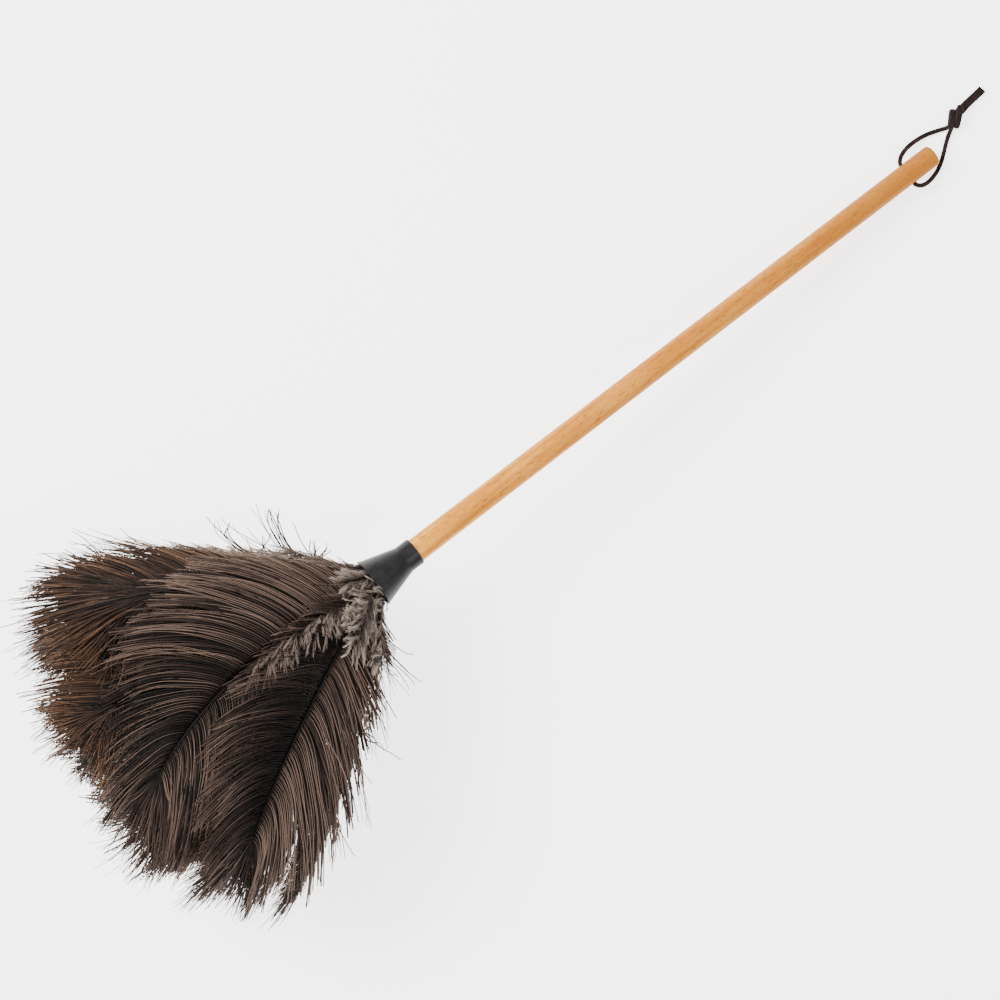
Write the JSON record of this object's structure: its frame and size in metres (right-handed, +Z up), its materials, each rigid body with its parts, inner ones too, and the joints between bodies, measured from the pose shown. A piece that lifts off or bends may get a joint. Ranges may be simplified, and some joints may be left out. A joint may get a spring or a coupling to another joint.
{
  "type": "feather duster",
  "caption": "Long feather duster with a turned wooden handle, black flared collar, bound plumes and a knotted hanging lace through the butt.",
  "frame": {"origin": "on the surface the duster lies on, under the middle of its length and width, the hanging lace left out", "axes": "+X along the handle towards its butt, +Z up from the surface, +Y to the left of the handle seen from the head"},
  "size_m": [0.8217, 0.2966, 0.1494],
  "materials": {
    "beech": "satin",
    "collar_plastic": "satin",
    "twine": "matte",
    "lace_leather": "satin",
    "dark_feather": "matte",
    "down_feather": "matte"
  },
  "bodies": {
    "duster": {"binding_twine": "twine", "collar": "collar_plastic", "core_feather_1": "dark_feather", "core_feather_2": "dark_feather", "core_feather_3": "dark_feather", "down_feather_1": "down_feather", "down_feather_2": "down_feather", "down_feather_3": "down_feather", "down_feather_4": "down_feather", "down_feather_5": "down_feather", "down_feather_6": "down_feather", "down_feather_7": "down_feather", "down_feather_8": "down_feather", "handle": "beech", "inner_feather_1": "dark_feather", "inner_feather_2": "dark_feather", "inner_feather_3": "dark_feather", "inner_feather_4": "dark_feather", "inner_feather_5": "dark_feather", "middle_feather_1": "dark_feather", "middle_feather_2": "dark_feather", "middle_feather_3": "dark_feather", "middle_feather_4": "dark_feather", "middle_feather_5": "dark_feather", "middle_feather_6": "dark_feather", "middle_feather_7": "dark_feather", "middle_feather_8": "dark_feather", "outer_feather_1": "dark_feather", "outer_feather_2": "dark_feather", "outer_feather_3": "dark_feather", "outer_feather_4": "dark_feather", "outer_feather_5": "dark_feather", "outer_feather_6": "dark_feather", "outer_feather_7": "dark_feather", "outer_feather_8": "dark_feather"},
    "hanging_lace": {"lace_loop": "lace_leather", "lace_knot": "lace_leather", "lace_tail_a": "lace_leather", "lace_tail_b": "lace_leather"}
  },
  "joints": [
    {"name": "loop_swing", "type": "hinge", "parent": "duster", "child": "hanging_lace", "pos_m": [0.35459, 0, 0.01102], "axis": [0, 1, 0], "range_deg": [-150, 150]}
  ]
}
